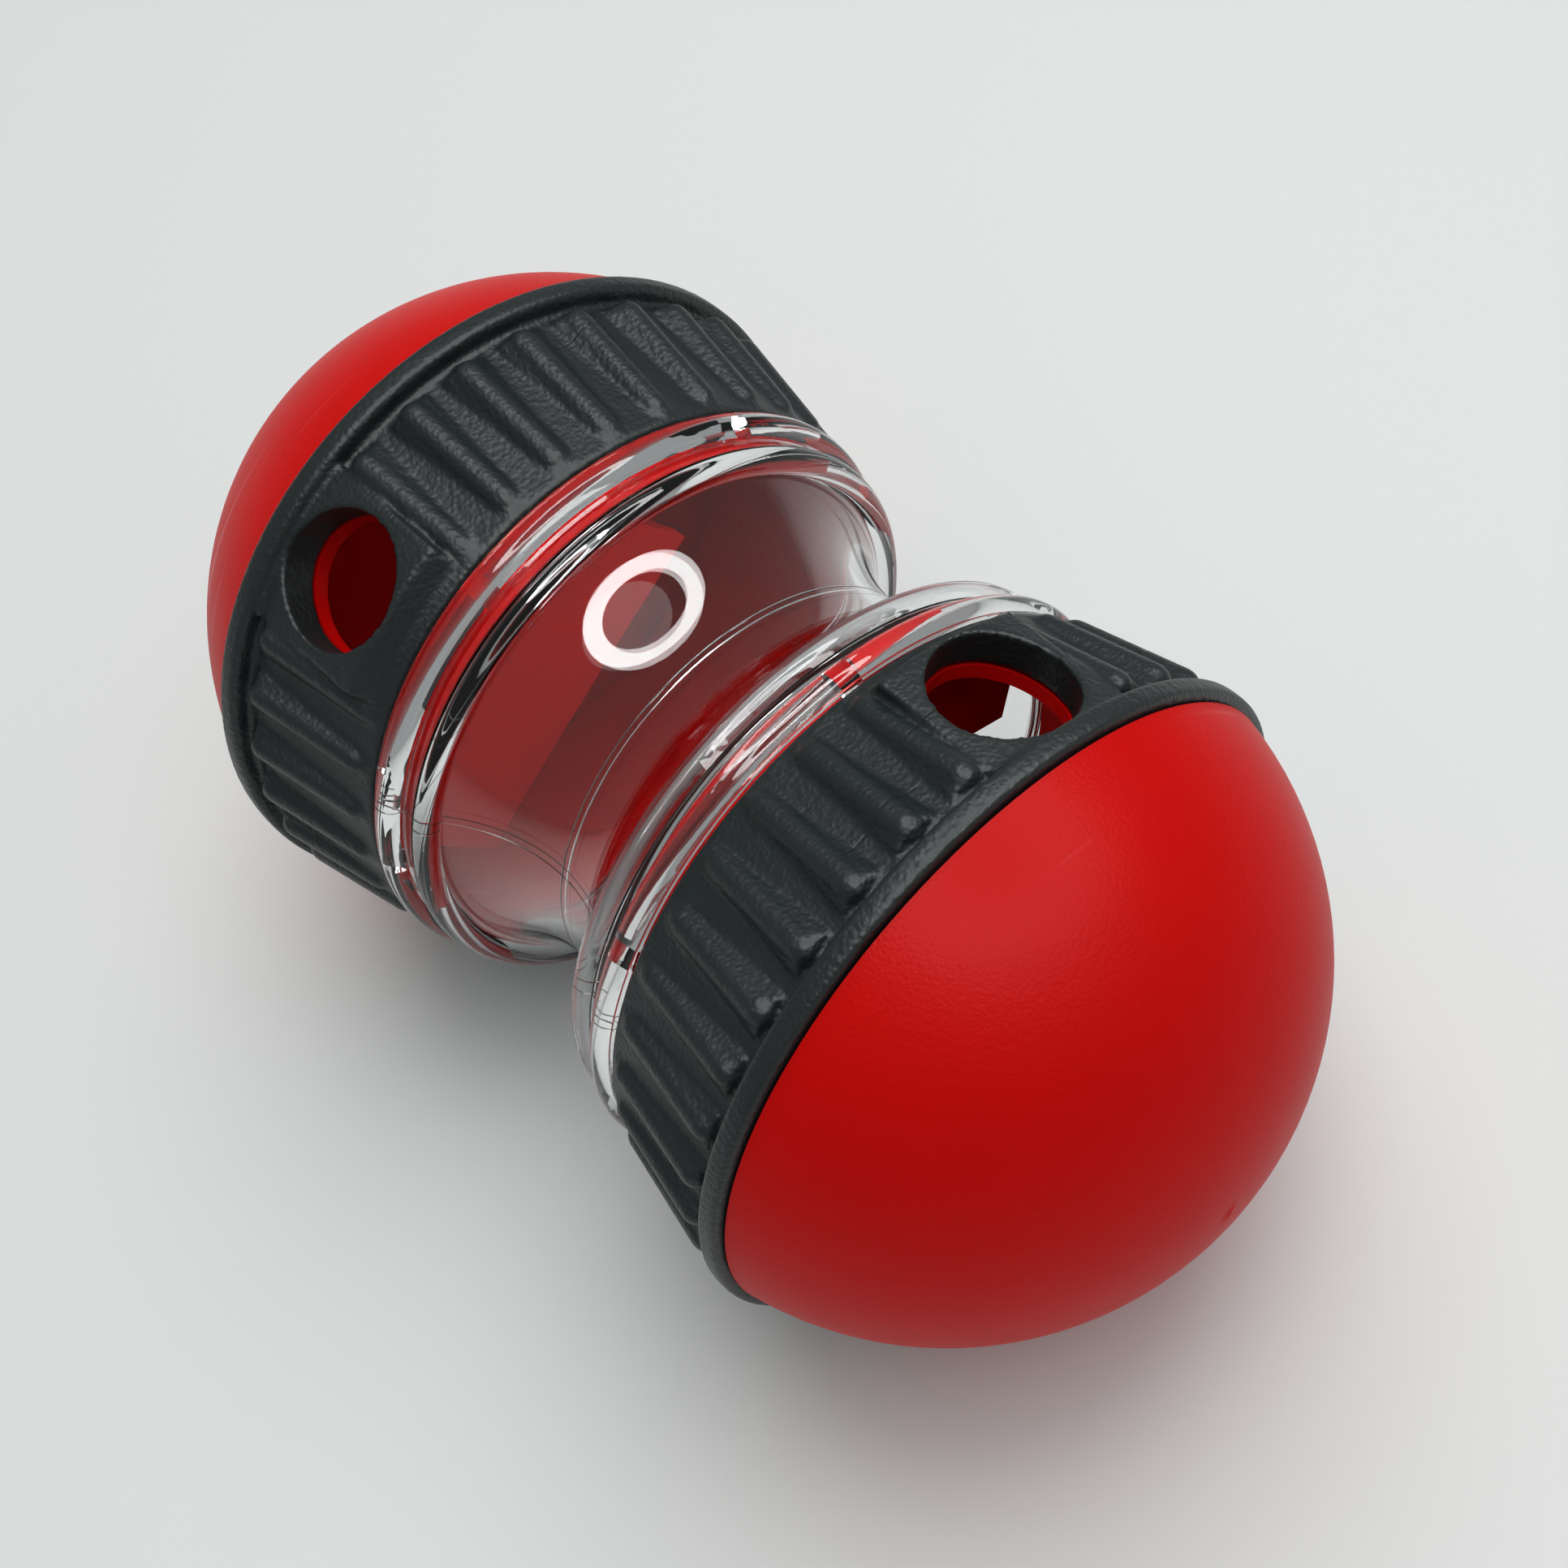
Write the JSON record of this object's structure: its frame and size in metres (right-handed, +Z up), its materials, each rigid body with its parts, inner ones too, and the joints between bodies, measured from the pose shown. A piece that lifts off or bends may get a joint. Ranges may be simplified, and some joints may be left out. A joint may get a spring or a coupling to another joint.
{
  "type": "rolling treat dispenser",
  "caption": "Hourglass rolling toy with a clear waisted barrel, two ribbed twist-off end bands and two turning domed caps with an outlet hole in each.",
  "frame": {"origin": "centre of the clear barrel's waist, on the axis", "axes": "+X along the axis towards the front end, +Z up as it lies on its two lips, with +Z between the two outlets"},
  "size_m": [0.143, 0.08, 0.08],
  "materials": {
    "clear_plastic": "gloss",
    "black_grip": "textured",
    "red_plastic": "satin"
  },
  "bodies": {
    "barrel": {"clear_barrel": "clear_plastic"},
    "front_end": {"grip_band_front": "black_grip", "gate_cup_front": "red_plastic"},
    "front_cap": {"dome_front": "red_plastic"},
    "back_end": {"grip_band_back": "black_grip", "gate_cup_back": "red_plastic"},
    "back_cap": {"dome_back": "red_plastic"}
  },
  "joints": [
    {"name": "front_twist", "type": "hinge", "parent": "barrel", "child": "front_end", "pos_m": [0, 0, 0], "axis": [-1, 0, 0], "range_deg": [0, 36]},
    {"name": "front_shutter", "type": "hinge", "parent": "front_end", "child": "front_cap", "pos_m": [0, 0, 0], "axis": [1, 0, 0], "range_deg": [0, 30]},
    {"name": "back_twist", "type": "hinge", "parent": "barrel", "child": "back_end", "pos_m": [0, 0, 0], "axis": [1, 0, 0], "range_deg": [0, 36]},
    {"name": "back_shutter", "type": "hinge", "parent": "back_end", "child": "back_cap", "pos_m": [0, 0, 0], "axis": [-1, 0, 0], "range_deg": [0, 30]}
  ]
}
